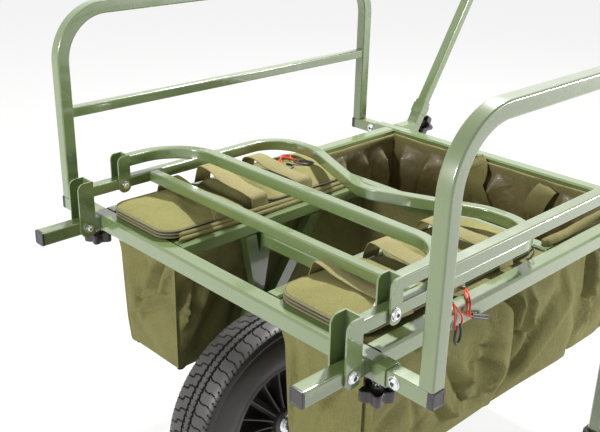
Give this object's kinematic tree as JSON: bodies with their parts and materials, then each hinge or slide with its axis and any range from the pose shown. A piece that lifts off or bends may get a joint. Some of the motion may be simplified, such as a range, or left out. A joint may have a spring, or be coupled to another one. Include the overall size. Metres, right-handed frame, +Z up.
{
  "type": "fishing trolley",
  "caption": "Steel bankside trolley with one pneumatic wheel, folding front rack, sliding side bars, tube handles and canvas bags hung under the deck.",
  "frame": {"origin": "on the ground, in the middle of the whole trolley's outline seen from above", "axes": "+X forward towards the wheel, +Y to the left of someone pushing it, +Z up"},
  "size_m": [1.4418, 0.882, 0.9967],
  "materials": {
    "paint": "gloss",
    "zinc_steel": "bright",
    "black_plastic": "moulded satin",
    "tyre": "matt",
    "grip_rubber": "matt",
    "canvas": "woven",
    "lid_cloth": "printed woven",
    "red_cord": "braided"
  },
  "bodies": {
    "frame": {"front_rail": "paint", "rear_rail": "paint", "mid_rail": "paint", "fork_crossbar": "paint", "wheel_axle": "zinc_steel", "rear_bag": "canvas", "side_rail_left": "paint", "bay_rail_left": "paint", "fork_left": "paint", "rack_stub_left": "paint", "stub_cap_left": "black_plastic", "handle_bracket_left": "paint", "front_bag_left": "canvas", "middle_bag_left": "canvas", "front_bag_lid_left": "lid_cloth", "middle_bag_lid_left": "lid_cloth", "side_rail_right": "paint", "bay_rail_right": "paint", "fork_right": "paint", "rack_stub_right": "paint", "stub_cap_right": "black_plastic", "handle_bracket_right": "paint", "front_bag_right": "canvas", "middle_bag_right": "canvas", "front_bag_lid_right": "lid_cloth", "middle_bag_lid_right": "lid_cloth"},
    "wheel": {"tyre": "tyre", "rim": "black_plastic", "wheel_bearing_left": "zinc_steel", "wheel_bearing_right": "zinc_steel"},
    "gate": {"gate_hoop": "paint", "gate_crossbar": "paint", "gate_bracket_left": "paint", "gate_bracket_right": "paint"},
    "platform": {"platform_hoop": "paint", "platform_bracket_left": "paint", "platform_bracket_right": "paint"},
    "side_bar_left": {"side_bar_left": "paint", "side_bar_base_front_left": "paint", "side_bar_base_rear_left": "paint"},
    "handle_left": {"handle_tube_left": "paint", "handle_grip_left": "grip_rubber"},
    "leg_left": {"leg_tube_left": "paint", "leg_foot_left": "black_plastic"},
    "side_bar_knob_front_left": {"side_bar_knob_front_left": "black_plastic"},
    "side_bar_knob_rear_left": {"side_bar_knob_rear_left": "black_plastic"},
    "leg_knob_left": {"leg_knob_left": "black_plastic"},
    "handle_knob_left": {"handle_knob_left": "black_plastic"},
    "side_bar_right": {"side_bar_right": "paint", "side_bar_base_front_right": "paint", "side_bar_base_rear_right": "paint"},
    "handle_right": {"handle_tube_right": "paint", "handle_grip_right": "grip_rubber"},
    "leg_right": {"leg_tube_right": "paint", "leg_foot_right": "black_plastic"},
    "side_bar_knob_front_right": {"side_bar_knob_front_right": "black_plastic"},
    "side_bar_knob_rear_right": {"side_bar_knob_rear_right": "black_plastic"},
    "leg_knob_right": {"leg_knob_right": "black_plastic"},
    "handle_knob_right": {"handle_knob_right": "black_plastic"}
  },
  "joints": [
    {"name": "wheel_spin", "type": "hinge", "parent": "frame", "child": "wheel", "pos_m": [0.47287, 0, 0.195], "axis": [0, 1, 0], "continuous": true},
    {"name": "gate_fold", "type": "hinge", "parent": "frame", "child": "gate", "pos_m": [0.63387, 0, 0.5], "axis": [0, 1, 0], "range_deg": [0, 90]},
    {"name": "platform_fold", "type": "hinge", "parent": "gate", "child": "platform", "pos_m": [0.55287, 0, 0.561], "axis": [0, 1, 0], "range_deg": [0, 90]},
    {"name": "side_bar_slide_left", "type": "slide", "parent": "frame", "child": "side_bar_left", "axis": [0, 1, 0], "range_m": [0, 0.12]},
    {"name": "handle_slide_left", "type": "slide", "parent": "frame", "child": "handle_left", "axis": [-0.5299, 0, 0.848], "range_m": [0, 0.05]},
    {"name": "leg_slide_left", "type": "slide", "parent": "frame", "child": "leg_left", "axis": [0, 0, -1], "range_m": [0, 0.1]},
    {"name": "side_bar_knob_front_left_turn", "type": "hinge", "parent": "frame", "child": "side_bar_knob_front_left", "pos_m": [0.59187, 0.34, 0.47], "axis": [0, 0, 1], "continuous": true},
    {"name": "side_bar_knob_rear_left_turn", "type": "hinge", "parent": "frame", "child": "side_bar_knob_rear_left", "pos_m": [-0.20513, 0.34, 0.47], "axis": [0, 0, 1], "continuous": true},
    {"name": "leg_knob_left_turn", "type": "hinge", "parent": "frame", "child": "leg_knob_left", "pos_m": [-0.15413, 0.35, 0.38], "axis": [0, 1, 0], "continuous": true},
    {"name": "handle_knob_left_turn", "type": "hinge", "parent": "frame", "child": "handle_knob_left", "pos_m": [-0.298, 0.318, 0.50958], "axis": [-0.848, 0, -0.5299], "continuous": true},
    {"name": "side_bar_slide_right", "type": "slide", "parent": "frame", "child": "side_bar_right", "axis": [0, -1, 0], "range_m": [0, 0.12]},
    {"name": "handle_slide_right", "type": "slide", "parent": "frame", "child": "handle_right", "axis": [-0.5299, 0, 0.848], "range_m": [0, 0.05]},
    {"name": "leg_slide_right", "type": "slide", "parent": "frame", "child": "leg_right", "axis": [0, 0, -1], "range_m": [0, 0.1]},
    {"name": "side_bar_knob_front_right_turn", "type": "hinge", "parent": "frame", "child": "side_bar_knob_front_right", "pos_m": [0.59187, -0.34, 0.47], "axis": [0, 0, 1], "continuous": true},
    {"name": "side_bar_knob_rear_right_turn", "type": "hinge", "parent": "frame", "child": "side_bar_knob_rear_right", "pos_m": [-0.20513, -0.34, 0.47], "axis": [0, 0, 1], "continuous": true},
    {"name": "leg_knob_right_turn", "type": "hinge", "parent": "frame", "child": "leg_knob_right", "pos_m": [-0.15413, -0.35, 0.38], "axis": [0, -1, 0], "continuous": true},
    {"name": "handle_knob_right_turn", "type": "hinge", "parent": "frame", "child": "handle_knob_right", "pos_m": [-0.298, -0.318, 0.50958], "axis": [-0.848, 0, -0.5299], "continuous": true}
  ]
}
